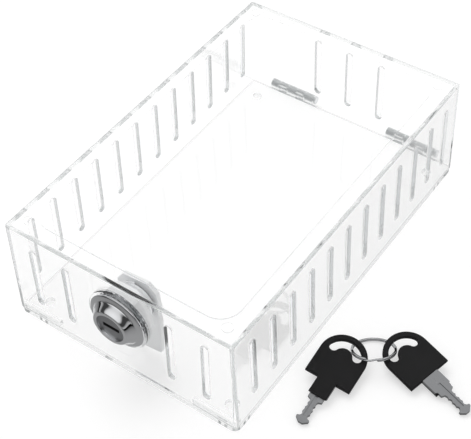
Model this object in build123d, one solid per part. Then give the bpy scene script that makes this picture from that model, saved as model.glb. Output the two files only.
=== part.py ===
from build123d import *
from math import atan, cos, degrees, radians, sin
import os

# Clear plastic guard box for a wall thermostat, lying on its back
# X is the width, Y runs from the lock wall to the hinge wall, Z is the depth off the wall
# The origin is the centre of the wall screw pattern, on the back of the base plate

# Case
box_width = 120.0
box_length = 187.5
box_height = 56.0
wall_draft = 1.15
wall_thickness = 2.0
top_thickness = 2.2
case_corner_radius = 2.2
inner_corner_radius = 0.4
top_edge_radius = 0.9
base_thickness = 2.4
base_corner_radius = 3.4
seat_gap = 0.3

# Raised panel and corner pips on the top
panel_inset = 8.8
panel_rise = 0.5
panel_corner_radius = 10.0
pip_inset = 8.6
pip_radius = 2.5
pip_rise = 0.35

# Vent slots
slot_width = 3.8
slot_length = 34.3
slot_low_end = 13.0
side_slot_count = 12
side_slot_pitch = 14.6
side_slot_row_centre = 1.0
end_slot_pitch = 18.0
front_slot_steps = (1.5, 2.5)
hinge_wall_slot_count = 3

# Locating tabs and wall screws on the base
tab_length = 21.0
tab_height = 2.8
tab_thickness = 1.8
screw_spacing_x = 100.0
screw_spacing_y = 166.0
screw_hole_radius = 2.25

# Hinges
hinge_span = 26.0
hinge_end_margin = 12.0
knuckle_count = 5
knuckle_gap = 0.35
knuckle_radius = 2.4
hinge_axis_height = 4.0
hinge_wall_clearance = 0.3
pin_radius = 1.2
pin_clearance = 0.05
pin_head_radius = 2.0
pin_head_thickness = 1.0

# Cam lock
lock_x = 1.1
lock_height = 34.5
lock_pad_radius = 15.2
lock_pad_rise = 0.2
lock_inner_pad_depth = 0.5
flange_radius = 14.1
flange_rim_thickness = 0.65
flange_rise = 1.3
dome_base_radius = 11.4
dome_front_radius = 8.8
dome_depth = 3.35
barrel_radius = 8.8
barrel_length = 13.5
barrel_clearance = 0.2
plug_head_radius = 7.1
plug_head_thickness = 1.2
plug_head_recess = 0.9
plug_radius = 6.0
plug_clearance = 0.05
keyway_width = 8.6
keyway_height = 2.1
keyway_floor = 1.6
tooth_washer_radius = 13.2
tooth_washer_thickness = 1.0
tooth_count = 28
tooth_depth = 1.6
nut_across_flats = 24.0
nut_thickness = 5.0
nut_clearance = 0.08
nut_corner_radius = 13.5
nut_chamfer = 0.9
dome_edge_radius = 0.3

# Turning parts behind the barrel
tail_square = 6.4
tail_clearance = 0.05
stop_washer_radius = 7.4
stop_washer_thickness = 1.0
stop_tab_angle = 26.0
stop_ring_inner_gap = 0.15
stop_play = 1.0
turn_to_locked = 7.0
turn_to_open = 83.0
cam_thickness = 2.0
cam_half_width = 10.5
cam_top = 10.5
cam_top_flat = 6.5
cam_shoulder_high = 6.0
cam_shoulder_low = -9.0
cam_foot_gap = 1.6
cam_tip_right = 6.5
cam_nose_reach = 8.0
cam_nose_height = 5.0
cam_neck = 3.5
cam_neck_top = -17.5
cam_corner_radius = 1.0
spring_washer_radius = 4.6
spring_washer_thickness = 0.9
spring_washer_split = 0.3
screw_head_flats = 8.0
screw_head_thickness = 3.2
screw_radius = 2.4
screw_length = 5.6
screw_clearance = 0.05

# Wafers and their springs
wafer_count = 5
wafer_pitch = 2.2
wafer_thickness = 1.0
wafer_height = 5.0
wafer_travel = 0.5
wafer_clearance = 0.05
wafer_end_relief = 0.12
wafer_window_margin = 0.35
first_wafer_depth = 2.6
lug_width = 1.2
lug_height = 1.2
spring_pocket_half = 3.7
wafer_spring_radius = 0.42
spring_gap = 0.1

# Keeper on the base
keeper_gap = 0.9
keeper_thickness = 2.5
keeper_depth = 8.0
keeper_post_width = 4.0
keeper_side_gap = 4.0
keeper_overlap = 2.5

# Keys and their ring
head_width = 21.6
head_straight = 13.4
head_thickness = 2.3
head_edge_radius = 0.5
head_hole_inner = 4.2
head_hole_outer = 8.2
head_hole_half_angle = 67.0
collar_length = 8.4
collar_width = 8.6
collar_rise = 0.75
collar_root = 1.0
blade_length = 22.4
blade_width = 8.6
blade_lobe_width = 6.8
blade_lobe_length = 2.2
blade_shank_width = 3.8
blade_shoulder_length = 7.4
blade_thickness = 1.6
blade_root_depth = 7.0
blade_groove_width = 1.3
blade_groove_depth = 0.4
blade_cut_depths = (0.3, 0.55)
blade_shoulder_slope = 0.6
blade_cut_pitch = 2.2
blade_cut_start = 0.8
blade_cut_end = 1.35
blade_cut_count = 4
blade_tip_length = 3.2
blade_tip_width = 5.9
blade_tip_flat = 0.8
blade_point_width = 2.0
ring_radius = 10.0
ring_wire_width = 1.1
ring_wire_height = 1.3
ring_groove = 0.22
ring_tilt = 24.5
ring_tilt_heading = -52.4
ring_from_box_x = 26.6
ring_centre_y = -28.0
key_reach = 14.6
key_pitch = 7.0
left_key_bearing = -126.5
left_key_yaw = 2.0
left_key_roll = 6.5
right_key_bearing = 20.8
right_key_yaw = 75.0
right_key_roll = -6.0
key_lift = 5.65

# Places worked out from the sizes above
half_width = box_width / 2
half_length = box_length / 2
case_floor = base_thickness + seat_gap
case_depth = box_height - case_floor
draft_angle = degrees(atan(wall_draft / case_depth))
hinge_y = half_length + hinge_wall_clearance + knuckle_radius
hinge_centre_x = half_width - hinge_end_margin - hinge_span / 2
knuckle_length = (hinge_span - (knuckle_count - 1) * knuckle_gap) / knuckle_count
lock_face_y = -half_length - lock_pad_rise
wall_inner_at_lock = -half_length + wall_draft * (lock_height - case_floor) / case_depth + wall_thickness
lock_inner_y = wall_inner_at_lock + lock_inner_pad_depth
flange_front_y = lock_face_y - flange_rim_thickness
dome_base_y = flange_front_y - flange_rise
dome_front_y = dome_base_y - dome_depth
plug_face_y = dome_front_y + plug_head_recess
plug_shoulder_y = plug_face_y + plug_head_thickness
barrel_end_y = lock_face_y + barrel_length
stop_washer_end_y = barrel_end_y + stop_washer_thickness
cam_end_y = stop_washer_end_y + cam_thickness
cam_reach = lock_height - base_thickness - cam_foot_gap
spring_washer_end_y = cam_end_y + spring_washer_thickness
screw_head_end_y = spring_washer_end_y + screw_head_thickness


def y_plane(y, x=0.0, z=lock_height):
    """A sketch plane facing +Y whose local x is the object's X and local y is the object's -Z."""
    return Plane(origin=(x, y, z), x_dir=(1, 0, 0), z_dir=(0, 1, 0))


def disc(y, thickness, radius, x=0.0, z=lock_height):
    """A round slab about a line along Y, from y towards +Y."""
    return extrude(y_plane(y, x, z) * Circle(radius), amount=thickness)


def turned(solid, angle):
    """A solid turned about the lock's line, from +X towards -Z."""
    return solid.rotate(Axis((0, 0, lock_height), (0, 1, 0)), angle)


def block(x0, x1, y0, y1, z0, z1):
    """A plain block between two corners."""
    size = (x1 - x0, y1 - y0, z1 - z0)
    middle = ((x0 + x1) / 2, (y0 + y1) / 2, (z0 + z1) / 2)
    return Pos(*middle) * Box(*size)


def x_rod(x0, x1, radius, y=hinge_y, z=hinge_axis_height):
    """A round rod along X."""
    plane = Plane(origin=(x0, y, z), x_dir=(0, 1, 0), z_dir=(1, 0, 0))
    return extrude(plane * Circle(radius), amount=x1 - x0)


def knuckle_spans(centre_x, first):
    """The X spans of every other knuckle of one hinge, starting at number first."""
    start = centre_x - hinge_span / 2
    spans = []
    for number in range(first, knuckle_count, 2):
        low = start + number * (knuckle_length + knuckle_gap)
        spans.append((low, low + knuckle_length))
    return spans


def slot_through(x, y, along_x):
    """A round-ended upright slot through one wall, at x, y."""
    reach = 2 * (wall_thickness + wall_draft)
    outline = SlotOverall(slot_length, slot_width, rotation=90)
    middle_z = slot_low_end + slot_length / 2
    normal = (0, 1, 0) if along_x else (1, 0, 0)
    sideways = (1, 0, 0) if along_x else (0, 1, 0)
    plane = Plane(origin=(x, y, middle_z), x_dir=sideways, z_dir=normal)
    return extrude(plane * outline, amount=reach, both=True)


def vent_slots():
    """Every vent slot of the cover, as cutting solids."""
    cuts = []
    for number in range(side_slot_count):
        y = side_slot_row_centre + (number - (side_slot_count - 1) / 2) * side_slot_pitch
        cuts.append(slot_through(half_width, y, False))
        cuts.append(slot_through(-half_width, y, False))
    for steps in front_slot_steps:
        cuts.append(slot_through(steps * end_slot_pitch, -half_length, True))
        cuts.append(slot_through(-steps * end_slot_pitch, -half_length, True))
    for number in range(hinge_wall_slot_count):
        x = (number - (hinge_wall_slot_count - 1) / 2) * end_slot_pitch
        cuts.append(slot_through(x, half_length, True))
    return cuts


def make_cover():
    """The clear shell: drafted walls, top with its raised panel and pips, slots, lock hole, knuckles."""
    floor = Plane(origin=(0, 0, case_floor))
    outer = extrude(floor * RectangleRounded(box_width, box_length, case_corner_radius),
                    amount=case_depth, taper=draft_angle)
    outer = fillet(outer.faces().sort_by(Axis.Z)[-1].edges(), top_edge_radius)
    lip = Plane(origin=(0, 0, box_height))
    panel = RectangleRounded(box_width - 2 * panel_inset, box_length - 2 * panel_inset,
                             panel_corner_radius)
    outer += extrude(lip * panel, amount=panel_rise)
    for side_x in (-1, 1):
        for side_y in (-1, 1):
            spot = Pos(side_x * (half_width - pip_inset), side_y * (half_length - pip_inset))
            outer += extrude(lip * spot * Circle(pip_radius), amount=pip_rise)
    outer += disc(lock_face_y, lock_inner_y - lock_face_y, lock_pad_radius, lock_x)
    hollow = extrude(floor * RectangleRounded(box_width - 2 * wall_thickness,
                                              box_length - 2 * wall_thickness,
                                              inner_corner_radius),
                     amount=case_depth - top_thickness, taper=draft_angle)
    pad = disc(lock_face_y, lock_inner_y - lock_face_y, lock_pad_radius, lock_x)
    shell = outer - (hollow - pad)
    for cut in vent_slots():
        shell -= cut
    shell -= disc(lock_face_y - barrel_clearance, lock_inner_y - lock_face_y + 2 * barrel_clearance,
                  barrel_radius + barrel_clearance, lock_x)
    for centre_x in (-hinge_centre_x, hinge_centre_x):
        for low, high in knuckle_spans(centre_x, 1):
            wall_y = half_length - wall_thickness / 2
            web = block(low, high, wall_y, hinge_y, case_floor, hinge_axis_height + knuckle_radius)
            shell += x_rod(low, high, knuckle_radius) + web
            shell -= x_rod(low - knuckle_gap, high + knuckle_gap, pin_radius + pin_clearance)
    return shell


def keeper():
    """The post and ledge on the base that the cam's nose turns under."""
    cam_middle_y = stop_washer_end_y + cam_thickness / 2
    low_y = cam_middle_y - keeper_depth / 2
    high_y = cam_middle_y + keeper_depth / 2
    ledge_low = lock_height - cam_reach + cam_nose_height + keeper_gap
    ledge_high = ledge_low + keeper_thickness
    ledge_end = lock_x - cam_nose_reach + keeper_overlap
    post_inner = lock_x - cam_nose_reach - keeper_side_gap
    post_outer = post_inner - keeper_post_width
    post = block(post_outer, post_inner, low_y, high_y, base_thickness, ledge_high)
    ledge = block(post_inner, ledge_end, low_y, high_y, ledge_low, ledge_high)
    return post + ledge


def make_base_plate():
    """The back plate: screw holes, locating tabs, keeper and the fixed hinge knuckles."""
    plate = extrude(RectangleRounded(box_width, box_length, base_corner_radius), amount=base_thickness)
    tab_y = -half_length + wall_thickness + seat_gap
    tab_outer = half_width - wall_thickness - seat_gap
    for side in (-1, 1):
        ends = sorted((side * tab_outer, side * (tab_outer - tab_length)))
        plate += block(*ends, tab_y, tab_y + tab_thickness,
                       base_thickness, base_thickness + tab_height)
    plate += keeper()
    for centre_x in (-hinge_centre_x, hinge_centre_x):
        for low, high in knuckle_spans(centre_x, 0):
            web = block(low, high, half_length - base_corner_radius, hinge_y,
                        0, hinge_axis_height)
            rod = x_rod(low, high, knuckle_radius)
            clear = block(low, high, half_length - 2 * base_corner_radius,
                          half_length + hinge_wall_clearance, base_thickness,
                          hinge_axis_height + knuckle_radius)
            plate += web - clear
            plate += rod
            plate -= x_rod(low - knuckle_gap, high + knuckle_gap, pin_radius + pin_clearance)
    for side_x in (-1, 1):
        for side_y in (-1, 1):
            spot = Pos(side_x * screw_spacing_x / 2, side_y * screw_spacing_y / 2)
            plate -= extrude(spot * Circle(screw_hole_radius), amount=base_thickness)
    return plate


def make_hinge_pin(centre_x):
    """A steel pin with a flat head at its +X end."""
    start = centre_x - hinge_span / 2
    end = centre_x + hinge_span / 2
    pin = x_rod(start, end + knuckle_gap, pin_radius)
    head = x_rod(end + knuckle_gap, end + knuckle_gap + pin_head_thickness, pin_head_radius)
    return pin + head


def make_lock_housing():
    """Flange, dome and threaded barrel in one piece, bored for the plug.

    Crossed grooves take the wafers, wide enough for the play between rest and locked.
    """
    points = [
        (plug_head_radius + plug_clearance, dome_front_y),
        (dome_front_radius, dome_front_y),
        (dome_base_radius, dome_base_y),
        (flange_radius, flange_front_y),
        (flange_radius, lock_face_y),
        (barrel_radius, lock_face_y),
        (barrel_radius, barrel_end_y),
        (plug_radius + plug_clearance, barrel_end_y),
        (plug_radius + plug_clearance, plug_shoulder_y),
        (plug_head_radius + plug_clearance, plug_shoulder_y),
    ]
    profile = make_face(Plane.XY * Polyline(*points, close=True))
    body = Pos(0, 0, lock_height) * revolve(profile, Axis.Y)
    rim = body.edges().filter_by(GeomType.CIRCLE)
    front = [edge for edge in rim if abs(edge.center().Y - dome_front_y) < pin_clearance]
    body = fillet(max(front, key=lambda edge: edge.length), dome_edge_radius)
    reach = plug_radius + 2 * wafer_travel
    half = wafer_height / 2 + wafer_clearance
    for across, upright in ((reach, half), (half, reach)):
        groove = block(-across, across, plug_shoulder_y + wafer_thickness, barrel_end_y,
                       lock_height - upright, lock_height + upright)
        body -= groove
        body -= turned(groove, turn_to_locked)
    return body + stop_ring()


def stop_ring():
    """The part ring behind the barrel whose open quarter lets the stop washer's tab turn."""
    inner = stop_washer_radius + stop_ring_inner_gap
    ring = disc(barrel_end_y, stop_washer_thickness, barrel_radius)
    ring -= disc(barrel_end_y, stop_washer_thickness, inner)
    first = -stop_tab_angle / 2 - stop_play - turn_to_open
    last = stop_tab_angle / 2 + stop_play + turn_to_locked
    return ring - sector(first, last, 2 * barrel_radius, barrel_end_y, stop_washer_thickness)


def sector(first, last, reach, y, thickness):
    """A pie slice about the lock's line; angles run from +X towards -Z."""
    middle = (first + last) / 2
    rim = [(reach * cos(radians(angle)), reach * sin(radians(angle)))
           for angle in (first, middle, last)]
    outline = Polyline(rim[0], (0, 0), rim[2]) + ThreePointArc(*rim)
    return extrude(y_plane(y) * make_face(outline), amount=thickness)


def wafer_y(number):
    """The Y of a wafer's front face."""
    return plug_shoulder_y + first_wafer_depth + number * wafer_pitch


def make_lock_plug():
    """The turning plug: keyway, wafer slots, spring pockets, square tail and screw hole."""
    plug = disc(plug_face_y, plug_head_thickness, plug_head_radius)
    plug += disc(plug_shoulder_y, barrel_end_y - plug_shoulder_y, plug_radius)
    tail_end = cam_end_y - spring_washer_thickness / 2
    half_tail = tail_square / 2
    plug += block(-half_tail, half_tail, barrel_end_y, tail_end,
                  lock_height - half_tail, lock_height + half_tail)
    half_key = keyway_width / 2
    keyway_end = wafer_y(wafer_count - 1) + wafer_thickness + keyway_floor
    plug -= block(-half_key, half_key, plug_face_y, keyway_end,
                  lock_height - keyway_height / 2, lock_height + keyway_height / 2)
    half_slot = wafer_height / 2 + wafer_clearance
    for number in range(wafer_count):
        front = wafer_y(number) - wafer_clearance
        back = wafer_y(number) + wafer_thickness + wafer_clearance
        plug -= block(-2 * plug_radius, 2 * plug_radius, front, back,
                      lock_height - half_slot, lock_height + half_slot)
        plug -= block(-spring_pocket_half, spring_pocket_half, front, back,
                      lock_height, lock_height + half_slot + lug_height)
    plug -= disc(cam_end_y + spring_washer_thickness - screw_length, screw_length,
                 screw_radius + screw_clearance)
    return plug


def make_wafer(number):
    """A flat wafer with its window, and the lug that its spring pushes."""
    side = 1 if number % 2 == 0 else -1
    half_reach = (plug_radius ** 2 - (wafer_height / 2) ** 2) ** 0.5 - wafer_end_relief
    front = wafer_y(number)
    back = front + wafer_thickness
    wafer = block(-half_reach, half_reach, front, back,
                  lock_height - wafer_height / 2, lock_height + wafer_height / 2)
    half_window = keyway_width / 2 - wafer_window_margin
    half_tall = keyway_height / 2 + wafer_clearance
    wafer -= block(-half_window, half_window, front, back,
                   lock_height - half_tall, lock_height + half_tall)
    lug_x = -side * lug_width / 2
    wafer += block(lug_x - lug_width / 2, lug_x + lug_width / 2, front, back,
                   lock_height + wafer_height / 2,
                   lock_height + wafer_height / 2 + lug_height - 2 * wafer_clearance)
    return wafer


def make_wafer_springs():
    """The five little springs in place, each beside its wafer's lug, as plain rods."""
    rods = []
    for number in range(wafer_count):
        side = 1 if number % 2 == 0 else -1
        middle_y = wafer_y(number) + wafer_thickness / 2
        middle_z = lock_height + wafer_height / 2 + lug_height / 2
        inner = lug_width + wafer_travel + spring_gap
        ends = sorted((-side * spring_pocket_half, -side * inner))
        rod = x_rod(*ends, wafer_spring_radius, middle_y, middle_z)
        rods.append(Pos(lock_x, 0, 0) * rod)
    return Compound(children=rods)


def make_toothed_washer():
    """A round lock washer with teeth round its rim."""
    washer = disc(lock_inner_y, tooth_washer_thickness, tooth_washer_radius)
    washer -= disc(lock_inner_y, tooth_washer_thickness, barrel_radius + nut_clearance)
    notch_radius = tooth_depth / 2
    for number in range(tooth_count):
        angle = radians(360 * number / tooth_count)
        x = tooth_washer_radius * cos(angle)
        z = lock_height + tooth_washer_radius * sin(angle)
        washer -= disc(lock_inner_y, tooth_washer_thickness, notch_radius, x, z)
    return washer


def make_lock_nut():
    """The hexagon nut that clamps the lock to the wall."""
    start = lock_inner_y + tooth_washer_thickness
    hexagon = RegularPolygon(nut_across_flats / 2, 6, major_radius=False)
    nut = extrude(y_plane(start) * hexagon, amount=nut_thickness)
    round_off = disc(start, nut_thickness, nut_corner_radius)
    round_off = chamfer(round_off.faces().sort_by(Axis.Y)[-1].edges(), nut_chamfer)
    return (nut & round_off) - disc(start, nut_thickness, barrel_radius + nut_clearance)


def square_hole(y, thickness):
    """The square hole that fits the plug's tail."""
    half = tail_square / 2 + tail_clearance
    return block(-half, half, y, y + thickness, lock_height - half, lock_height + half)


def make_stop_washer():
    """The washer whose tab stops the plug at each end of its quarter turn."""
    washer = disc(barrel_end_y, stop_washer_thickness, stop_washer_radius)
    tab = sector(-stop_tab_angle / 2, stop_tab_angle / 2, barrel_radius * 2,
                 barrel_end_y, stop_washer_thickness)
    tab &= disc(barrel_end_y, stop_washer_thickness, barrel_radius)
    return washer + tab - square_hole(barrel_end_y, stop_washer_thickness)


def make_lock_cam():
    """The hooked cam: drawn as locked, pointing down, then turned back to just short of locked."""
    outline = [
        (-cam_top_flat, cam_top),
        (cam_top_flat, cam_top),
        (cam_half_width, cam_shoulder_high),
        (cam_half_width, cam_shoulder_low),
        (cam_tip_right, -cam_reach),
        (-cam_nose_reach, -cam_reach),
        (-cam_nose_reach, -cam_reach + cam_nose_height),
        (-cam_neck, -cam_reach + cam_nose_height),
        (-cam_neck, cam_neck_top),
        (-cam_half_width, cam_shoulder_low),
        (-cam_half_width, cam_shoulder_high),
    ]
    y = stop_washer_end_y
    plate = make_face(Polyline(*[(x, -z) for x, z in outline], close=True))
    cam = extrude(y_plane(y) * plate, amount=cam_thickness)
    cam = fillet(cam.edges().filter_by(Axis.Y), cam_corner_radius)
    return turned(cam, -turn_to_locked) - square_hole(y, cam_thickness)


def make_spring_washer():
    """The split washer under the cam screw's head."""
    washer = disc(cam_end_y, spring_washer_thickness, spring_washer_radius)
    washer -= disc(cam_end_y, spring_washer_thickness, screw_radius + 2 * screw_clearance)
    return washer - block(-spring_washer_split, spring_washer_split, cam_end_y, spring_washer_end_y,
                          lock_height, lock_height + 2 * spring_washer_radius)


def make_cam_screw():
    """The hexagon-headed screw in the plug's tail."""
    hexagon = RegularPolygon(screw_head_flats / 2, 6, major_radius=False)
    head = extrude(y_plane(spring_washer_end_y) * hexagon, amount=screw_head_thickness)
    shank_start = spring_washer_end_y - screw_length + keyway_floor / 2
    return head + disc(shank_start, spring_washer_end_y - shank_start, screw_radius)


def key_places():
    """Where each key's head circle centre stands, and how it leans on the ring."""
    centre_x = half_width + ring_from_box_x
    places = {}
    for name, bearing, yaw, roll in (
            ("left", left_key_bearing, left_key_yaw, left_key_roll),
            ("right", right_key_bearing, right_key_yaw, right_key_roll)):
        x = centre_x + key_reach * cos(radians(bearing))
        y = ring_centre_y + key_reach * sin(radians(bearing))
        turn = Rot(0, 0, yaw) * Rot(key_pitch, 0, 0) * Rot(0, roll, 0)
        places[name] = Pos(x, y, key_lift) * turn
    return places


def head_outline():
    """The U-shaped head about its own circle centre, with the bottom edge towards -Y."""
    radius = head_width / 2
    square = Pos(0, -head_straight / 2) * Rectangle(head_width, head_straight)
    return square + Circle(radius)


def head_hole():
    """The bean-shaped ring hole: an arc slot about the head's circle centre."""
    middle = (head_hole_inner + head_hole_outer) / 2
    spread = head_hole_half_angle
    arc = CenterArc((0, 0), middle, 90 - spread, 2 * spread)
    return SlotArc(arc, head_hole_outer - head_hole_inner)


def blade_solid():
    """The steel blade: root in the head, shoulder, cut shank and spade tip."""
    root_top = -head_straight + blade_root_depth
    shoulder_end = -head_straight - blade_shoulder_length
    tip_end = -head_straight - blade_length
    half = blade_width / 2
    half_shank = blade_shank_width / 2
    half_lobe = blade_lobe_width / 2
    lobe_start = shoulder_end - blade_shoulder_slope
    lobe_end = lobe_start - blade_lobe_length
    y = lobe_end - blade_shoulder_slope
    right = [(half, root_top), (half, shoulder_end), (half_lobe, lobe_start),
             (half_lobe, lobe_end), (half_shank, y)]
    for number in range(blade_cut_count):
        inward = half_shank - blade_cut_depths[number % 2]
        right += [(inward, y - blade_cut_start), (inward, y - blade_cut_end)]
        y -= blade_cut_pitch
        right.append((half_shank, y))
    middle = tip_end + blade_tip_length / 2
    right += [(blade_tip_width / 2, middle + blade_tip_flat),
              (blade_tip_width / 2, middle),
              (blade_point_width / 2, tip_end)]
    left = [(-x, y) for x, y in reversed(right)]
    outline = make_face(Polyline(*right, *left, close=True))
    blade = extrude(outline, amount=blade_thickness / 2, both=True)
    groove_end = tip_end + blade_tip_length
    for side in (-1, 1):
        blade -= block(-blade_groove_width / 2, blade_groove_width / 2, groove_end,
                       shoulder_end + blade_cut_pitch,
                       side * blade_thickness / 2 - blade_groove_depth,
                       side * blade_thickness / 2 + blade_groove_depth)
    return blade


def head_solid(blade, flip):
    """The moulded head with its hole, the collar on one face, and the blade's pocket."""
    head = extrude(head_outline() - head_hole(), amount=head_thickness / 2, both=True)
    rims = head.faces().filter_by(Axis.Z).edges()
    head = fillet(rims, head_edge_radius)
    collar_low = blade_thickness / 2
    ends = sorted((flip * collar_low, flip * (collar_low + collar_rise)))
    head += block(-collar_width / 2, collar_width / 2, -head_straight - collar_length,
                  -head_straight + collar_root, *ends)
    return head - blade


def make_split_ring():
    """The split ring: two flat turns lying close, shown by a groove round its middle."""
    mean = ring_radius - ring_wire_width / 2
    half_w = ring_wire_width / 2
    half_h = ring_wire_height / 2
    section = Rectangle(ring_wire_width, ring_wire_height)
    section = fillet(section.vertices(), half_w / 2)
    for side in (-1, 1):
        section -= Pos(side * half_w) * Rot(0, 0, 45) * Rectangle(ring_groove, ring_groove)
    profile = Plane.XZ * Pos(mean) * section
    ring = revolve(profile, Axis.Z)
    height = ring_radius * sin(radians(ring_tilt)) + half_h * cos(radians(ring_tilt))
    centre = Pos(half_width + ring_from_box_x, ring_centre_y, height)
    return centre * Rot(0, 0, ring_tilt_heading) * Rot(0, -ring_tilt, 0) * ring


def make_all():
    """Every node by its name."""
    nodes = {
        "base_plate": make_base_plate(),
        "clear_cover": make_cover(),
        "hinge_pin_left": make_hinge_pin(-hinge_centre_x),
        "hinge_pin_right": make_hinge_pin(hinge_centre_x),
        "wafer_springs": make_wafer_springs(),
        "split_ring": make_split_ring(),
    }
    lock = {
        "lock_housing": make_lock_housing(),
        "toothed_washer": make_toothed_washer(),
        "lock_nut": make_lock_nut(),
        "lock_plug": make_lock_plug(),
        "stop_washer": make_stop_washer(),
        "lock_cam": make_lock_cam(),
        "cam_spring_washer": make_spring_washer(),
        "cam_screw": make_cam_screw(),
    }
    for number in range(wafer_count):
        lock[f"wafer_{number + 1}"] = make_wafer(number)
    for name, solid in lock.items():
        nodes[name] = Pos(lock_x, 0, 0) * solid
    for name, place in key_places().items():
        blade = blade_solid()
        flip = 1 if name == "left" else -1
        nodes[f"key_head_{name}"] = place * head_solid(blade, flip)
        nodes[f"key_blade_{name}"] = place * blade
    return nodes


def write_parts(nodes):
    """One file per node."""
    os.makedirs("parts", exist_ok=True)
    for name, solid in nodes.items():
        export_step(solid, f"parts/{name}.step")


write_parts(make_all())
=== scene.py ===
from math import cos, pi, radians, sin

import bpy
import numpy as np
from bpy.props import FloatProperty, FloatVectorProperty, IntProperty, PointerProperty
from mathutils import Matrix, Vector


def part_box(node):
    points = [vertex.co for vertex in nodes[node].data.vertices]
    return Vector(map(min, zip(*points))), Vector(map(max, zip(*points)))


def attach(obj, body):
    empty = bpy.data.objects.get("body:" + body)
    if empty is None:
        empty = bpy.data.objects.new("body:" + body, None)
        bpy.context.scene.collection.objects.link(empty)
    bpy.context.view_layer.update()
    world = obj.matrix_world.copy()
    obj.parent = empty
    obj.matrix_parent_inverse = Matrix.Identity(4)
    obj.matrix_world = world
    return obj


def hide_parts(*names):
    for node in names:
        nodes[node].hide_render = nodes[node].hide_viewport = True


bl_info = {
    "name": "Thermostat Lock Box",
    "version": (1, 0, 0),
    "blender": (4, 5, 0),
    "location": "View3D > Sidebar > Lock Box",
    "description": "Dresses the packed lock box: clear case, cam lock, split ring, keys and a white table",
    "category": "Object",
}

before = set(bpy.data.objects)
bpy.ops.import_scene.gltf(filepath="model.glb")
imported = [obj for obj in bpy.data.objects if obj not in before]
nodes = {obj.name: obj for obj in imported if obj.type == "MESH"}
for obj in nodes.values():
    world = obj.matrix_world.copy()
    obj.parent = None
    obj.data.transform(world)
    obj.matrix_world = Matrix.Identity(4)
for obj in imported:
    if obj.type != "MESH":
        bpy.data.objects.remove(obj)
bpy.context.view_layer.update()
mm = 0.001


def linear(hex_colour):
    """An sRGB hex colour as linear red, green and blue."""
    raw = np.array([int(hex_colour[i:i + 2], 16) for i in (1, 3, 5)]) / 255.0
    low = raw / 12.92
    high = ((raw + 0.055) / 1.055) ** 2.4
    return tuple(float(v) for v in np.where(raw <= 0.04045, low, high))


def length(name, description, millimetres):
    """A length property, whose default is given in millimetres."""
    return FloatProperty(name=name, description=description, default=millimetres * mm,
                         min=0.0, precision=5, subtype="DISTANCE", unit="LENGTH")


def colour(name, description, hex_colour):
    """A colour property."""
    return FloatVectorProperty(name=name, description=description, size=3, min=0.0, max=1.0,
                               subtype="COLOR", default=linear(hex_colour))


def turn(name, description, degrees):
    """An angle property, whose default is given in degrees."""
    return FloatProperty(name=name, description=description, default=radians(degrees),
                         subtype="ANGLE", unit="ROTATION")


class CaseLook(bpy.types.PropertyGroup):
    """The clear case and its hinge pins."""
    tint: colour("Plastic tint", "Colour that the clear plastic passes", "#fdfdfd")
    # Painted shade: the grey that the slots' inner faces pass draws them as grey lines
    painted_slot_shade: colour("Slot tint", "Colour that the slots' dull inner faces pass", "#c9cbcc")
    lamp_tint: colour("Light passed", "Share of the lamps' light that one face lets through", "#fdfdfd")
    # Painted shade: each face that a far-travelled ray passes greys it, which draws the rims as grey lines
    painted_edge_shade: colour("Edge tint", "Share that one face passes of a ray that has met many surfaces",
                      "#eff0f0")
    surfaces_met: IntProperty(name="Surfaces met", default=4, min=1, description="Surfaces that a ray "
                              "meets from the camera on before the plastic lets it straight through")
    wave_length: length("Flow wave", "Spacing of the faint waves in the moulded faces", 38.0)
    wave_depth: length("Flow wave depth", "Height of the faint waves", 0.006)
    pin_colour: colour("Hinge pin", "Colour of the drawn steel pins", "#d4d6d8")


class LockLook(bpy.types.PropertyGroup):
    """The cam lock's shell, plug and fixings."""
    ring_edge: length("Ring edge", "Rounding of the dome's front ring", 0.3)
    flange_edge: length("Flange edge", "Width of the flange's rolled rim", 0.45)
    hollow: length("Hollow", "Width of the hollow where the cone meets the flange", 0.3)
    cone_dish: length("Cone dish", "How far the dome's cone is hollowed between its ends", 0.12)
    thread_pitch: length("Thread pitch", "Distance between the barrel's threads", 1.5)
    thread_depth: length("Thread depth", "Depth of the barrel's threads", 0.7)
    turns: IntProperty(name="Facets", description="Columns round the shell", default=144, min=24)
    chrome: colour("Chrome", "Colour of the plated shell", "#e9eaec")
    nickel: colour("Plug", "Colour of the turned plug", "#a0a1a3")
    zinc: colour("Zinc", "Colour of the plated nut, cam and screw", "#f4f5f6")
    steel: colour("Washer steel", "Colour of the washers and springs", "#a5a6a9")
    brass: colour("Brass", "Colour of the stamped wafers", "#c9a45c")


class KeyLook(bpy.types.PropertyGroup):
    """The two keys and their split ring."""
    plastic: colour("Key plastic", "Colour of the moulded key heads", "#141415")
    grain: length("Spark texture", "Grain size of the key heads' texture", 0.35)
    blade: colour("Blade", "Colour of the milled blades", "#8f9092")
    wire: colour("Ring wire", "Colour of the nickel plated wire", "#c3c4c6")
    ring_radius: length("Ring radius", "Outer radius of the split ring", 10.0)
    wire_width: length("Wire width", "Width of the flattened wire", 1.1)
    wire_height: length("Wire height", "Height of one turn of wire", 0.62)
    turn_gap: length("Turn gap", "Gap between the two turns", 0.05)
    tilt: turn("Ring tilt", "How far the ring leans on the keys", 24.5)
    heading: turn("Ring heading", "Which way the ring leans", -52.4)
    left_yaw: turn("Left key turn", "Heading of the left key", 2.0)
    right_yaw: turn("Right key turn", "Heading of the right key", 75.0)


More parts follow.
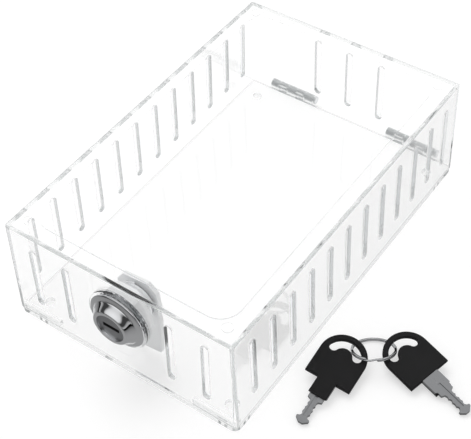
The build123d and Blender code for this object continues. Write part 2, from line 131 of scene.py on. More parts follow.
class StageLook(bpy.types.PropertyGroup):
    """Table, studio light and camera."""
    table: colour("Table", "Colour of the white table", "#c4c4c4")
    table_size: length("Table size", "Half width of the table", 9000.0)
    # Painted reflection: how bright the table's glow is in metal near the object
    table_in_metal: FloatProperty(name="Table in metal", default=0.35, min=0.0, max=1.0,
                                  description="Brightness of the table near the object in metal")
    camera_x: FloatProperty(name="Camera X", description="Camera place", default=0.2256, unit="LENGTH")
    camera_y: FloatProperty(name="Camera Y", description="Camera place", default=-0.31172, unit="LENGTH")
    camera_z: FloatProperty(name="Camera Z", description="Camera place", default=0.423, unit="LENGTH")
    azimuth: turn("Azimuth", "Where the camera stands round the object", 36.61)
    elevation: turn("Elevation", "How far above the table the camera stands", 46.93)
    roll: turn("Roll", "Turn of the camera about its own line", -2.27)
    lens: FloatProperty(name="Lens", description="Focal length on a 36 mm sensor", default=91.38)
    sky: FloatProperty(name="Sky level", description="Even light from all round", default=0.7)
    lamp: FloatProperty(name="Lamp", description="Power of the overhead soft lamp", default=5.0,
                        unit="POWER")


def add(tree, kind, sockets=None, **settings):
    """Adds one node; sockets gives its inputs by name or number, each a value or a socket to link from."""
    made = tree.nodes.new(kind)
    for name, value in settings.items():
        setattr(made, name, value)
    for name, value in (sockets or {}).items():
        if isinstance(value, bpy.types.NodeSocket):
            tree.links.new(value, made.inputs[name])
        else:
            made.inputs[name].default_value = value
    return made


def new_material(name):
    """An empty node material, its tree and its output node."""
    material = bpy.data.materials.new(name)
    material.use_nodes = True
    tree = material.node_tree
    tree.nodes.clear()
    return material, tree, add(tree, "ShaderNodeOutputMaterial")


def rgba(value):
    """A colour property as the four numbers that a socket takes."""
    return (value[0], value[1], value[2], 1.0)


def where_all(tree, tests):
    """A mask that is 1 where every test holds: the product of one comparison for each.

    A test is a value, the side of its limit that it has to be on, and the limit.
    """
    mask = 1.0
    for value, side, limit in tests:
        holds = add(tree, "ShaderNodeMath", {0: value, 1: limit}, operation=side)
        mask = add(tree, "ShaderNodeMath", {0: mask, 1: holds.outputs[0]},
                   operation="MULTIPLY").outputs[0]
    return mask


def dull_and_shaded_places(tree, coordinates):
    """Two masks of the case: the inner faces of the slots and the lock hole, and the rim on top.

    A point is on a slot's side where it is in a wall, at a slot's height and clear of the box's corners,
    and faces along the wall instead of out of it. It is on the rim where it is in the top face and above
    a wall. Each mask is the larger of one for the walls across X and one for the walls across Y. The
    slots' mask both dulls those faces and lays painted shade on them; the rim's mask only dulls.
    """
    low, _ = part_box("clear_cover")
    wall_depth, corner, rim_width = 5.0 * mm, 6.0 * mm, 3.2 * mm
    slots_from, slots_to, rim_from = 12.5 * mm, 48.0 * mm, 55.2 * mm
    facing_out = 0.7
    place = add(tree, "ShaderNodeVectorMath", {0: coordinates.outputs["Object"]}, operation="ABSOLUTE")
    facing = add(tree, "ShaderNodeVectorMath", {0: coordinates.outputs["Normal"]}, operation="ABSOLUTE")
    at = add(tree, "ShaderNodeSeparateXYZ", {0: place.outputs[0]}).outputs
    way = add(tree, "ShaderNodeSeparateXYZ", {0: facing.outputs[0]}).outputs
    slots, rims = [], []
    for across, along, reach, span in (("X", "Y", -low.x, -low.y), ("Y", "X", -low.y, -low.x)):
        slots.append(where_all(tree, (
            (at[across], "GREATER_THAN", reach - wall_depth), (at[along], "LESS_THAN", span - corner),
            (way[across], "LESS_THAN", facing_out), (at["Z"], "GREATER_THAN", slots_from),
            (at["Z"], "LESS_THAN", slots_to))))
        rims.append(where_all(tree, (
            (at[across], "GREATER_THAN", reach - rim_width), (at["Z"], "GREATER_THAN", rim_from))))
    return [add(tree, "ShaderNodeMath", {0: across_x, 1: across_y}, operation="MAXIMUM").outputs[0]
            for across_x, across_y in (slots, rims)]


def far_travelled(tree, path):
    """1 for a ray that has met more surfaces since the camera than the case's limit."""
    limit = bpy.context.scene.lockbox_case.surfaces_met + 0.5
    return add(tree, "ShaderNodeMath", {0: path.outputs["Ray Depth"], 1: limit},
               operation="GREATER_THAN").outputs[0]


def clear_polycarbonate(look):
    """Polycarbonate, injection moulded in a polished tool.

    It is water clear and glossy, bends what is behind it, and shows faint long waves where the melt
    flowed. The slots' inner faces are duller and pass a grey of painted shade, and the rim is slightly
    dull, which is a reading of the grey lines that the photograph shows there. Lamp light and scattered
    light pass it as through a clean window. So does a ray that has already met many surfaces, so that the
    edges stay pale as in a clear moulding; each face that such a ray passes greys it by the edge tint,
    which is painted shade along the rims.
    """
    material, tree, output = new_material("clear_polycarbonate")
    coordinates = add(tree, "ShaderNodeTexCoord")
    waves = add(tree, "ShaderNodeTexNoise", {
        "Vector": coordinates.outputs["Object"], "Scale": 1 / look.wave_length, "Detail": 1.0,
        "Roughness": 0.4})
    bump = add(tree, "ShaderNodeBump", {"Strength": 1.0, "Distance": look.wave_depth,
                                        "Height": waves.outputs["Fac"]})
    slots, rim = dull_and_shaded_places(tree, coordinates)
    polished, rim_dulling, slot_dulling = 0.012, 0.25, 0.22
    rim_gloss = add(tree, "ShaderNodeMath", {0: rim, 1: rim_dulling, 2: polished},
                    operation="MULTIPLY_ADD")
    gloss = add(tree, "ShaderNodeMath", {0: slots, 1: slot_dulling, 2: rim_gloss.outputs[0]},
                operation="MULTIPLY_ADD")
    # The slots' inner faces pass a grey: painted shade
    clear = add(tree, "ShaderNodeMix", {0: slots, 6: rgba(look.tint), 7: rgba(look.painted_slot_shade)},
                data_type="RGBA")
    plastic = add(tree, "ShaderNodeBsdfPrincipled", {
        "Base Color": clear.outputs[2], "Roughness": gloss.outputs[0], "IOR": 1.585,
        "Transmission Weight": 1.0, "Normal": bump.outputs["Normal"]})
    path = add(tree, "ShaderNodeLightPath")
    either = add(tree, "ShaderNodeMath", {0: path.outputs["Is Shadow Ray"],
                                          1: path.outputs["Is Diffuse Ray"]}, operation="MAXIMUM")
    far = far_travelled(tree, path)
    only_far = add(tree, "ShaderNodeMath", {0: far, 1: either.outputs[0]}, operation="SUBTRACT",
                   use_clamp=True)
    # A ray that has met many surfaces is greyed at each face it passes: painted shade along the rims
    passed = add(tree, "ShaderNodeMix", {0: only_far.outputs[0], 6: rgba(look.lamp_tint),
                                         7: rgba(look.painted_edge_shade)}, data_type="RGBA")
    window = add(tree, "ShaderNodeBsdfTransparent", {"Color": passed.outputs[2]})
    passes = add(tree, "ShaderNodeMath", {0: either.outputs[0], 1: far}, operation="MAXIMUM")
    mix = add(tree, "ShaderNodeMixShader", {0: passes.outputs[0], 1: plastic.outputs[0],
                                            2: window.outputs[0]})
    tree.links.new(mix.outputs[0], output.inputs["Surface"])
    return material


def worked_metal(name, metal_colour, rough, rough_spread, grain, stretch, depth, yaw=0.0,
                 metallic=1.0):
    """A metal whose finish is a stretched grain: roughness and a small bump follow the same noise.

    The roughness runs from rough less its spread to rough plus its spread, and depth is the bump's
    height in metres. grain is the size of a mark across its run in metres and stretch is how many times
    longer it is on X, Y and Z; yaw turns the marks about Z to follow a piece that lies turned. metallic
    is under 1 where a film over the metal scatters part of the light.
    """
    material, tree, output = new_material(name)
    place = add(tree, "ShaderNodeTexCoord").outputs["Object"]
    turned = add(tree, "ShaderNodeMapping", {"Vector": place, "Rotation": (0.0, 0.0, -yaw)})
    sized = add(tree, "ShaderNodeMapping", {
        "Vector": turned.outputs[0], "Scale": tuple(1 / (grain * s) for s in stretch)})
    marks = add(tree, "ShaderNodeTexNoise", {"Vector": sized.outputs[0], "Scale": 1.0,
                                             "Detail": 3.0, "Roughness": 0.55})
    gloss = add(tree, "ShaderNodeMapRange", {
        "Value": marks.outputs["Fac"], "From Min": 0.25, "From Max": 0.75,
        "To Min": rough - rough_spread, "To Max": rough + rough_spread})
    bump = add(tree, "ShaderNodeBump", {"Strength": 1.0, "Distance": depth,
                                        "Height": marks.outputs["Fac"]})
    metal = add(tree, "ShaderNodeBsdfPrincipled", {
        "Base Color": rgba(metal_colour), "Metallic": metallic, "Roughness": gloss.outputs[0],
        "Normal": bump.outputs["Normal"]})
    tree.links.new(metal.outputs[0], output.inputs["Surface"])
    return material


def turned_nickel(look, size):
    """Brass faced on a lathe and nickel plated.

    The tool leaves fine rings about the lock's line, real ones 0.05 mm apart and drawn 0.35 mm apart so
    that they show, and the plating turns the sheen a soft grey, a little cloudy every 2.2 mm. The wave
    node multiplies its place by 20, so one ring is 2 pi / 20 of its input.
    """
    material, tree, output = new_material("turned_nickel_plate")
    place = add(tree, "ShaderNodeTexCoord").outputs["Object"]
    centred = add(tree, "ShaderNodeMapping", {
        "Vector": place, "Location": (-size["centre_x"], 0.0, -size["centre_z"])})
    ring_spacing, cloud_size = 0.35 * mm, 2.2 * mm
    rings = add(tree, "ShaderNodeTexWave", {
        "Vector": centred.outputs[0], "Scale": 2 * pi / (20 * ring_spacing), "Distortion": 0.0},
        wave_type="RINGS", rings_direction="Y")
    cloud = add(tree, "ShaderNodeTexNoise", {"Vector": place, "Scale": 1 / cloud_size, "Detail": 2.0})
    gloss = add(tree, "ShaderNodeMapRange", {"Value": cloud.outputs["Fac"], "To Min": 0.26,
                                             "To Max": 0.42})
    bump = add(tree, "ShaderNodeBump", {"Strength": 1.0, "Distance": 0.004 * mm,
                                        "Height": rings.outputs["Fac"]})
    metal = add(tree, "ShaderNodeBsdfPrincipled", {
        "Base Color": rgba(look.nickel), "Metallic": 1.0, "Roughness": gloss.outputs[0],
        "Normal": bump.outputs["Normal"]})
    tree.links.new(metal.outputs[0], output.inputs["Surface"])
    return material


def spark_textured_abs(look):
    """ABS, moulded in a spark eroded tool.

    The tool leaves a fine even grain that keeps the black matt, with a soft sheen only along the
    rounded edges. The grain is drawn a little coarser than life. Handling changes the sheen a little
    over patches of 9 mm.
    """
    patch = 9 * mm
    material, tree, output = new_material("spark_textured_abs")
    place = add(tree, "ShaderNodeTexCoord").outputs["Object"]
    grain = add(tree, "ShaderNodeTexNoise", {"Vector": place, "Scale": 1 / look.grain, "Detail": 2.0,
                                             "Roughness": 0.6})
    handled = add(tree, "ShaderNodeTexNoise", {"Vector": place, "Scale": 1 / patch, "Detail": 1.0})
    gloss = add(tree, "ShaderNodeMapRange", {"Value": handled.outputs["Fac"], "To Min": 0.42,
                                             "To Max": 0.6})
    bump = add(tree, "ShaderNodeBump", {"Strength": 1.0, "Distance": 0.03 * mm,
                                        "Height": grain.outputs["Fac"]})
    plastic = add(tree, "ShaderNodeBsdfPrincipled", {
        "Base Color": rgba(look.plastic), "Roughness": gloss.outputs[0], "IOR": 1.52,
        "Specular IOR Level": 0.2, "Normal": bump.outputs["Normal"]})
    tree.links.new(plastic.outputs[0], output.inputs["Surface"])
    return material


def paint(material, *names):
    """Gives CAD nodes a material."""
    for name in names:
        data = nodes[name].data
        data.materials.clear()
        data.materials.append(material)


def surface(name, points, faces, material):
    """A new object at the origin from an array of points in metres and a list of faces."""
    data = bpy.data.meshes.new(name)
    data.from_pydata(points.reshape(-1, 3), [], faces)
    data.shade_smooth()
    data.materials.append(material)
    made = bpy.data.objects.new(name, data)
    bpy.context.scene.collection.objects.link(made)
    made.modifiers.new("even_normals", "WEIGHTED_NORMAL")
    return made


def grid_faces(rows, columns, closed_rows, closed_columns):
    """The quads of a rows by columns grid, wrapped round where it is closed."""
    i = np.arange(rows if closed_rows else rows - 1)[:, None]
    j = np.arange(columns if closed_columns else columns - 1)[None, :]
    below, right = (i + 1) % rows, (j + 1) % columns
    quads = np.stack([i * columns + j, i * columns + right, below * columns + right,
                      below * columns + j], axis=-1)
    return quads.reshape(-1, 4).tolist()


def tube_faces(rows, columns):
    """The faces of a tube with rows of points round it and columns along it, closed at both ends."""
    ring = np.arange(rows) * columns
    ends = [ring.tolist(), (ring[::-1] + columns - 1).tolist()]
    return grid_faces(rows, columns, True, False) + ends


def rounded(corners, steps=5):
    """A path with its corners rounded; each corner is given by its two coordinates and its radius.

    Each corner C is replaced by the curve (1-t)^2 A + 2t(1-t) C + t^2 B, where A and B lie one radius
    back and one radius on from C along the path. The first and last points stay.
    """
    corners, radii = np.split(np.array(corners, float), [2], axis=1)
    inner, radii = corners[1:-1], radii[1:-1]
    back, ahead = corners[:-2] - inner, corners[2:] - inner
    a = inner + back / np.linalg.norm(back, axis=1, keepdims=True) * radii
    b = inner + ahead / np.linalg.norm(ahead, axis=1, keepdims=True) * radii
    t = np.linspace(0, 1, steps)[None, :, None]
    curve = (1 - t) ** 2 * a[:, None] + 2 * t * (1 - t) * inner[:, None] + t ** 2 * b[:, None]
    return np.concatenate([corners[:1], curve.reshape(-1, 2), corners[-1:]])


def lock_measures():
    """The lock's main places, in metres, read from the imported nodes."""
    low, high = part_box("lock_housing")
    plug_low, plug_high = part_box("lock_plug")
    stop_low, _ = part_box("stop_washer")
    # The shell ends just short of the stop washer, so that their end faces aren't in one plane
    clearance = 0.02 * mm
    return {
        "centre_x": (low.x + high.x) / 2,
        "centre_z": (low.z + high.z) / 2,
        "front": low.y,
        "flange": (high.x - low.x) / 2,
        "plug_face": plug_low.y,
        "plug": (plug_high.x - plug_low.x) / 2,
        "barrel_end": stop_low.y - clearance,
        "ring_end": high.y,
    }


def about_line(size, radius, y, angle):
    """Points at a radius, Y and angle about the lock's line; angles run from +X towards +Z."""
    return np.stack([size["centre_x"] + radius * np.cos(angle), y,
                     size["centre_z"] + radius * np.sin(angle)], axis=-1)


def lock_shell_points(look, size):
    """The plated shell as one closed surface: a path of radius against Y, carried round the lock's line.

    The path runs out over the front ring, down the cone, through a hollow at its foot, over the flange
    to its rolled rim, along the barrel and back through the bore. Three things change its radius with
    the angle. The barrel's radius is its own less the thread depth times the height of a triangle wave
    of Y / pitch - angle / turn, faded over a millimetre at both ends. The bore behind the plug's head is
    the larger of the round bore and crossed grooves for the wafers, where a groove's reach at an angle
    is the smaller of reach / cos and half / sin. Each groove is taken twice, the second time turned by
    the play between rest and locked. Extra columns at the grooves' corners keep them sharp.
    """
    front, face = size["front"], size["plug_face"]
    cone_foot = front + 3.35 * mm
    rim_face = cone_foot + 1.3 * mm
    seat = rim_face + 0.65 * mm
    head_bore, bore = size["plug"] + 0.05 * mm, 6.05 * mm
    ring, cone, barrel = 8.8 * mm, 11.4 * mm, 8.8 * mm
    shoulder = face + 1.2 * mm
    middle = ((ring + cone) / 2 - look.cone_dish, (front + cone_foot) / 2 + look.cone_dish)
    hollow = (cone + look.hollow, cone_foot + 1.5 * look.hollow)
    outside = rounded([
        (head_bore, shoulder, 0.0),
        (head_bore, front, 0.12 * mm),
        (ring, front, look.ring_edge),
        (*middle, 1.1 * mm),
        (cone, cone_foot, 0.12 * mm),
        (*hollow, 0.35 * mm),
        (size["flange"] - look.flange_edge, rim_face - 0.3 * mm, 0.3 * mm),
        (size["flange"], rim_face, 0.15 * mm),
        (size["flange"], seat, 0.15 * mm),
        (barrel, seat, 0.1 * mm),
        (barrel, seat + 0.4 * mm, 0.0)])
    end, rows_per_thread = size["barrel_end"], 12
    rows = int((end - seat) / look.thread_pitch * rows_per_thread)
    barrel_y = np.linspace(seat + 0.5 * mm, end - 0.3 * mm, rows)
    barrel_path = np.stack([np.full(rows, barrel), barrel_y], axis=1)
    groove_start = shoulder + 1.0 * mm
    end_face = [(barrel - 0.3 * mm, end), (7.6 * mm, end)]
    grooved_bore = [(bore, end), (bore, (end + groove_start) / 2), (bore, groove_start)]
    round_bore = [(bore, groove_start - 0.01 * mm), (bore, shoulder)]
    path = np.concatenate([outside, barrel_path, end_face, grooved_bore, round_bore])
    half, reach, play = 2.55 * mm, 7.0 * mm, radians(7)
    corners = [np.arctan2(half, reach), np.arcsin(half / bore)]
    sharp = [s * c + q * pi / 2 - p for q in range(4) for s in (-1, 1) for c in corners
             for p in (0, play)]
    angle = np.sort(np.concatenate([np.linspace(0, 2 * pi, look.turns, endpoint=False),
                                    np.mod(sharp, 2 * pi)]))
    radius = np.repeat(path[:, :1], len(angle), axis=1)
    y = np.repeat(path[:, 1:], len(angle), axis=1)
    first = len(outside)
    thread = slice(first, first + rows)
    phase = y[thread] / look.thread_pitch - angle[None, :] / (2 * pi)
    wave = np.abs(2 * (phase - np.floor(phase)) - 1)
    fade = np.clip((barrel_y - barrel_y[0]) / mm, 0, 1) * np.clip((barrel_y[-1] - barrel_y) / mm, 0, 1)
    radius[thread] -= look.thread_depth * wave * fade[:, None]
    bore_reach = np.full(len(angle), bore)
    for shift in (0, play):
        along = np.maximum(np.abs(np.cos(angle + shift)), 1e-6)
        across = np.maximum(np.abs(np.sin(angle + shift)), 1e-6)
        bore_reach = np.maximum(bore_reach, np.minimum(reach / along, half / across))
        bore_reach = np.maximum(bore_reach, np.minimum(reach / across, half / along))
    groove = first + rows + len(end_face)
    radius[groove:groove + len(grooved_bore)] = bore_reach
    return about_line(size, radius, y, angle), grid_faces(len(path), len(angle), True, True)


def stop_ring_points(size, first, last, columns=48):
    """A bar bent round the lock's line and sunk a little into the barrel's end.

    It is a rectangle of radius against Y with two edges cut off, carried from angle to angle. Angles run
    from +X towards -Z, as the plug turns; both ends are closed by one face each.
    """
    sunk, edge = 0.02 * mm, 0.12 * mm
    low, high = size["barrel_end"] - sunk, size["ring_end"]
    inner, outer = 7.55 * mm, 8.78 * mm
    path = np.array([(inner, low), (outer, low), (outer, high - edge), (outer - edge, high),
                     (inner + edge, high), (inner, high - edge)])
    angle = -np.linspace(first, last, columns)
    radius, y = path[:, :1], np.repeat(path[:, 1:], columns, axis=1)
    return about_line(size, radius, y, angle), tube_faces(len(path), columns)


def split_ring_points(look, centre, columns=360, sides=12):
    """Flattened wire wound nearly twice round, as a tube about a path.

    The path's angle runs from 0 to just short of two turns at one radius. Its height is half a turn's
    pitch below the middle on the first turn and above it on the second, with a smooth step of 22 degrees
    where it crosses over. The wire's section is a superellipse of power 4, drawn in to a point over the
    first and last half millimetre. The whole is then leant by the tilt and turned by the heading.
    """
    mean = look.ring_radius - look.wire_width / 2
    lift = (look.wire_height + look.turn_gap) / 2
    cross, power = radians(22), 4
    drawn_in, point = 0.5 * mm, 0.001
    s = np.linspace(0, 4 * pi - cross * 1.25, columns)
    step = np.clip((s - (2 * pi - cross)) / cross, 0, 1)
    height = lift * (2 * step ** 2 * (3 - 2 * step) - 1)
    run = np.minimum(s, s[-1] - s) * mean
    taper = np.sqrt(np.clip(run / drawn_in, 0.0, 1.0)) * (1 - point) + point
    t = np.linspace(0, 2 * pi, sides, endpoint=False)
    across = np.sign(np.cos(t)) * np.abs(np.cos(t)) ** (2 / power) * look.wire_width / 2
    up = np.sign(np.sin(t)) * np.abs(np.sin(t)) ** (2 / power) * look.wire_height / 2
    radius = mean + across[:, None] * taper
    z = height + up[:, None] * taper
    points = np.stack([radius * np.cos(s), radius * np.sin(s), z], axis=-1)
    lean = Matrix.Rotation(look.heading, 3, "Z") @ Matrix.Rotation(-look.tilt, 3, "Y")
    points = points @ np.array(lean).T + np.array(centre)
    return points, tube_faces(sides, columns)


class LOCKBOX_OT_case(bpy.types.Operator):
    """Paint the base plate and the cover as clear moulded plastic"""
    bl_idname = "lockbox.case"
    bl_label = "Clear Case"

    def execute(self, context):
        paint(clear_polycarbonate(context.scene.lockbox_case), "base_plate", "clear_cover")
        return {"FINISHED"}


class LOCKBOX_OT_hinge_pins(bpy.types.Operator):
    """Paint the hinge pins as drawn steel, with fine lines along the wire"""
    bl_idname = "lockbox.hinge_pins"
    bl_label = "Hinge Pins"

    def execute(self, context):
        # Drawn through a die: bright, with long fine lines along X
        look = context.scene.lockbox_case
        steel = worked_metal("drawn_steel", look.pin_colour, rough=0.22, rough_spread=0.07,
                             grain=0.25 * mm, stretch=(40, 1, 1), depth=0.004 * mm)
        paint(steel, "hinge_pin_left", "hinge_pin_right")
        return {"FINISHED"}


class LOCKBOX_OT_lock_shell(bpy.types.Operator):
    """Build the plated lock shell with its cone, flange, threaded barrel and stop ring"""
    bl_idname = "lockbox.lock_shell"
    bl_label = "Lock Shell"

    def execute(self, context):
        # A zinc casting, buffed and chrome plated: a mirror with barely seen polishing marks
        look = context.scene.lockbox_lock
        size = lock_measures()
        chrome = worked_metal("buffed_chrome_plate", look.chrome, rough=0.05, rough_spread=0.02,
                              grain=0.6 * mm, stretch=(4, 1, 4), depth=0.0008 * mm)
        shell = surface("lock_shell", *lock_shell_points(look, size), chrome)
        stop = surface("lock_stop_ring", *stop_ring_points(size, radians(21), radians(263)), chrome)
        for piece in (shell, stop):
            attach(piece, "cover")
        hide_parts("lock_housing")
        return {"FINISHED"}


class LOCKBOX_OT_lock_inside(bpy.types.Operator):
    """Paint the plug, its wafers and springs, and the nut, washers, cam and screw behind the wall"""
    bl_idname = "lockbox.lock_inside"
    bl_label = "Lock Inside"

    def execute(self, context):
        look = context.scene.lockbox_lock
        paint(turned_nickel(look, lock_measures()), "lock_plug")
        # Steel, zinc plated and passivated: the clear film makes it pale and satin, a little cloudy.
        # How much of it is metal is matched to the pale plate that shows behind the wall
        zinc = worked_metal("passivated_zinc_plate", look.zinc, rough=0.42, rough_spread=0.08,
                            grain=2.5 * mm, stretch=(1, 1, 1), depth=0.002 * mm, metallic=0.35)
        paint(zinc, "lock_nut", "lock_cam", "cam_screw")
        # Spring steel, hardened and oiled: darker, with bright and dark breaks along the teeth
        oiled = worked_metal("hardened_spring_steel", look.steel, rough=0.2, rough_spread=0.08,
                             grain=0.6 * mm, stretch=(1, 1, 1), depth=0.006 * mm)
        paint(oiled, "toothed_washer", "stop_washer", "cam_spring_washer")
        # Brass strip, stamped: rolled lines across each wafer
        brass = worked_metal("stamped_brass", look.brass, rough=0.3, rough_spread=0.08,
                             grain=0.2 * mm, stretch=(8, 1, 1), depth=0.004 * mm)
        paint(brass, *[name for name in nodes if name.startswith("wafer_") and name[-1].isdigit()])
        # Spring wire, drawn: bright grey with lines along the rods
        wire = worked_metal("drawn_spring_wire", look.steel, rough=0.25, rough_spread=0.05,
                            grain=0.1 * mm, stretch=(20, 1, 1), depth=0.002 * mm)
        paint(wire, "wafer_springs")
        return {"FINISHED"}


class LOCKBOX_OT_split_ring(bpy.types.Operator):
    """Wind the split ring from flattened wire"""
    bl_idname = "lockbox.split_ring"
    bl_label = "Split Ring"

    def execute(self, context):
        # Spring steel wire, rolled flat and nickel plated: bright, with faint rolling lines
        look = context.scene.lockbox_keys
        low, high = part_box("split_ring")
        nickel = worked_metal("rolled_nickel_wire", look.wire, rough=0.16, rough_spread=0.06,
                              grain=0.4 * mm, stretch=(3, 3, 1), depth=0.003 * mm)
        ring = surface("split_ring_wire", *split_ring_points(look, (low + high) / 2), nickel)
        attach(ring, "base")
        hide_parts("split_ring")
        return {"FINISHED"}


class LOCKBOX_OT_keys(bpy.types.Operator):
    """Paint the key heads as textured plastic and the blades as milled metal"""
    bl_idname = "lockbox.keys"
    bl_label = "Keys"

    def execute(self, context):
        look = context.scene.lockbox_keys
        paint(spark_textured_abs(look), "key_head_left", "key_head_right")
        # Nickel silver, milled along its length: a soft grey with cutter lines that follow the blade
        for side, yaw in (("left", look.left_yaw), ("right", look.right_yaw)):
            milled = worked_metal(f"milled_nickel_silver_{side}", look.blade, rough=0.34,
                                  rough_spread=0.1, grain=0.3 * mm, stretch=(1, 12, 1),
                                  depth=0.012 * mm, yaw=yaw)
            paint(milled, f"key_blade_{side}")
        return {"FINISHED"}


def through_plastic(tree, path):
    """1 for a ray that has come out of a clear piece, or that has met many surfaces."""
    return add(tree, "ShaderNodeMath", {0: path.outputs["Is Transmission Ray"],
                                        1: far_travelled(tree, path)}, operation="MAXIMUM").outputs[0]


def white_table(look):
    """White laminate, pressed smooth: even and matt, bright enough to read as the white background.

    What the camera and clear pieces see of it is lifted by a steady glow of its own colour, which
    lights nothing else. Metal mirrors only a painted reflection of it: a glow that falls off in a straight
    line between two distances from the object's middle, as on a table with dark cards round it.
    """
    speck_size, near, far, glow_share = 4 * mm, 0.12, 0.4, 0.5
    material, tree, output = new_material("white_laminate_table")
    place = add(tree, "ShaderNodeTexCoord").outputs["Object"]
    speck = add(tree, "ShaderNodeTexNoise", {"Vector": place, "Scale": 1 / speck_size, "Detail": 1.0})
    bump = add(tree, "ShaderNodeBump", {"Strength": 1.0, "Distance": 0.002 * mm,
                                        "Height": speck.outputs["Fac"]})
    matt = add(tree, "ShaderNodeBsdfDiffuse", {"Color": rgba(look.table),
                                               "Normal": bump.outputs["Normal"]})
    path = add(tree, "ShaderNodeLightPath")
    distance = add(tree, "ShaderNodeVectorMath", {0: place}, operation="LENGTH")
    falloff = add(tree, "ShaderNodeMapRange", {
        "Value": distance.outputs["Value"], "From Min": near, "From Max": far,
        "To Min": 1.0, "To Max": 0.0})
    dimmed = add(tree, "ShaderNodeMath", {0: falloff.outputs[0], 1: look.table_in_metal},
                 operation="MULTIPLY")
    through = through_plastic(tree, path)
    seen = add(tree, "ShaderNodeMath", {0: path.outputs["Is Camera Ray"], 1: through},
               operation="MAXIMUM")
    share = add(tree, "ShaderNodeMath", {0: seen.outputs[0], 1: glow_share}, operation="MULTIPLY")
    glow = add(tree, "ShaderNodeEmission", {"Strength": share.outputs[0]})
    both = add(tree, "ShaderNodeAddShader", {0: matt.outputs[0], 1: glow.outputs[0]})
    # Painted reflection: metal sees the table as a glow that dims away from the object's middle
    reflected = add(tree, "ShaderNodeEmission", {"Strength": dimmed.outputs[0]})
    in_metal = add(tree, "ShaderNodeMath", {0: path.outputs["Is Glossy Ray"], 1: through},
                   operation="SUBTRACT", use_clamp=True)
    shown = add(tree, "ShaderNodeMixShader", {0: in_metal.outputs[0], 1: both.outputs[0],
                                              2: reflected.outputs[0]})
    tree.links.new(shown.outputs[0], output.inputs["Surface"])
    return material


def studio_world(look):
    """An even sky for scattered light, white to the camera.

    Reflections see a studio with a dark band low round it, so that polished metal has something to
    show. Clear pieces see a pale room with a soft grey band, which draws their edges. Each of the two is
    a row of brightness levels against the height that a ray looks up to, joined by straight lines.
    """
    world = bpy.data.worlds.new("studio")
    bpy.context.scene.world = world
    world.use_nodes = True
    tree = world.node_tree
    tree.nodes.clear()
    output = add(tree, "ShaderNodeOutputWorld")
    path = add(tree, "ShaderNodeLightPath")
    direction = add(tree, "ShaderNodeTexCoord").outputs["Generated"]
    height = add(tree, "ShaderNodeSeparateXYZ", {0: direction}).outputs["Z"]
    mirrored = ((0.0, 0.5), (0.12, 0.35), (0.2, 0.05), (0.42, 0.05), (0.55, 0.75), (0.75, 0.95),
                (1.0, 1.0))
    through = ((0.0, 0.9), (0.15, 0.78), (0.4, 0.72), (0.6, 0.9), (1.0, 1.0))
    lights = [add(tree, "ShaderNodeBackground", {"Color": (1, 1, 1, 1), "Strength": strength})
              for strength in (look.sky, 1.0)]
    for stops in (mirrored, through):
        ramp = add(tree, "ShaderNodeValToRGB", {"Fac": height})
        elements = ramp.color_ramp.elements
        while len(elements) < len(stops):
            elements.new(0.5)
        for element, (position, level) in zip(elements, stops):
            element.position = position
            element.color = (level, level, level, 1.0)
        lights.append(add(tree, "ShaderNodeBackground", {"Color": ramp.outputs["Color"]}))
    shown = lights[0].outputs[0]
    shares = (path.outputs["Is Camera Ray"], path.outputs["Is Glossy Ray"], through_plastic(tree, path))
    for share, light in zip(shares, lights[1:]):
        shown = add(tree, "ShaderNodeMixShader", {0: share, 1: shown, 2: light.outputs[0]}).outputs[0]
    tree.links.new(shown, output.inputs["Surface"])


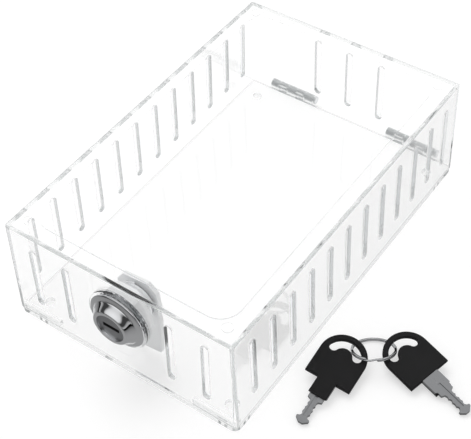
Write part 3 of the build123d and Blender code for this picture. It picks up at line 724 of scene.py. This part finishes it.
class LOCKBOX_OT_stage(bpy.types.Operator):
    """Lay the white table and set the studio light and the camera"""
    bl_idname = "lockbox.stage"
    bl_label = "Stage"

    def execute(self, context):
        look = context.scene.lockbox_stage
        scene = context.scene
        scene.view_settings.view_transform = "Standard"
        # The table lies just under the part, so that their faces aren't in one plane
        under = -0.15 * mm
        corner = np.array([(-1, -1), (1, -1), (1, 1), (-1, 1)], float) * look.table_size
        points = np.concatenate([corner, np.full((4, 1), under)], axis=1)
        table = surface("table", points, [[0, 1, 2, 3]], white_table(look))
        studio_world(look)
        lamp_data = bpy.data.lights.new("soft_lamp", "AREA")
        lamp_width, lamp_depth = 0.9, 0.7
        lamp_place, lit_place = Vector((-0.45, 0.2, 1.1)), Vector((0.02, 0.0, 0.02))
        lamp_data.shape = "RECTANGLE"
        lamp_data.size, lamp_data.size_y = lamp_width, lamp_depth
        lamp_data.energy = look.lamp
        lamp = bpy.data.objects.new("soft_lamp", lamp_data)
        lamp.location = lamp_place
        aim = lit_place - lamp_place
        lamp.rotation_euler = aim.to_track_quat("-Z", "Y").to_euler()
        lamp.visible_glossy = False
        lamp.visible_transmission = False
        scene.collection.objects.link(lamp)
        camera_data = bpy.data.cameras.new("camera")
        camera_data.lens, camera_data.sensor_width = look.lens, 36.0
        camera_data.clip_start, camera_data.clip_end = 0.01, 50.0
        camera = bpy.data.objects.new("camera", camera_data)
        scene.collection.objects.link(camera)
        level = Vector((cos(look.azimuth), sin(look.azimuth), 0.0))
        back = Vector((sin(look.azimuth) * cos(look.elevation),
                       -cos(look.azimuth) * cos(look.elevation), sin(look.elevation)))
        upright = back.cross(level)
        right = level * cos(look.roll) + upright * sin(look.roll)
        up = back.cross(right)
        camera.matrix_world = Matrix.Translation((look.camera_x, look.camera_y, look.camera_z)) @ \
            Matrix((right, up, back)).transposed().to_4x4()
        scene.camera = camera
        return {"FINISHED"}


class LOCKBOX_PT_panel(bpy.types.Panel):
    """Lists the lock box's pieces and their sizes and colours"""
    bl_idname = "LOCKBOX_PT_panel"
    bl_label = "Lock Box"
    bl_space_type = "VIEW_3D"
    bl_region_type = "UI"
    bl_category = "Lock Box"

    def draw(self, context):
        for group, operators in panel_rows:
            box = self.layout.box()
            look = getattr(context.scene, group)
            for name in type(look).__annotations__:
                box.prop(look, name)
            for operator in operators:
                box.operator(operator.bl_idname)


panel_rows = (
    ("lockbox_case", (LOCKBOX_OT_case, LOCKBOX_OT_hinge_pins)),
    ("lockbox_lock", (LOCKBOX_OT_lock_shell, LOCKBOX_OT_lock_inside)),
    ("lockbox_keys", (LOCKBOX_OT_split_ring, LOCKBOX_OT_keys)),
    ("lockbox_stage", (LOCKBOX_OT_stage,)),
)
looks = {"lockbox_case": CaseLook, "lockbox_lock": LockLook, "lockbox_keys": KeyLook,
         "lockbox_stage": StageLook}
classes = (*looks.values(), LOCKBOX_OT_case, LOCKBOX_OT_hinge_pins, LOCKBOX_OT_lock_shell,
           LOCKBOX_OT_lock_inside, LOCKBOX_OT_split_ring, LOCKBOX_OT_keys, LOCKBOX_OT_stage,
           LOCKBOX_PT_panel)


def register():
    """Registers the classes and gives the scene one group of settings for each look."""
    for kind in classes:
        bpy.utils.register_class(kind)
    for name, kind in looks.items():
        setattr(bpy.types.Scene, name, PointerProperty(type=kind))


def unregister():
    """Takes away what register made, in the opposite order."""
    for name in looks:
        delattr(bpy.types.Scene, name)
    for kind in reversed(classes):
        bpy.utils.unregister_class(kind)


def main():
    """Makes the pieces and the stage."""
    register()
    bpy.ops.lockbox.case()
    bpy.ops.lockbox.hinge_pins()
    bpy.ops.lockbox.lock_shell()
    bpy.ops.lockbox.lock_inside()
    bpy.ops.lockbox.split_ring()
    bpy.ops.lockbox.keys()
    bpy.ops.lockbox.stage()


if __name__ == "__main__":
    main()
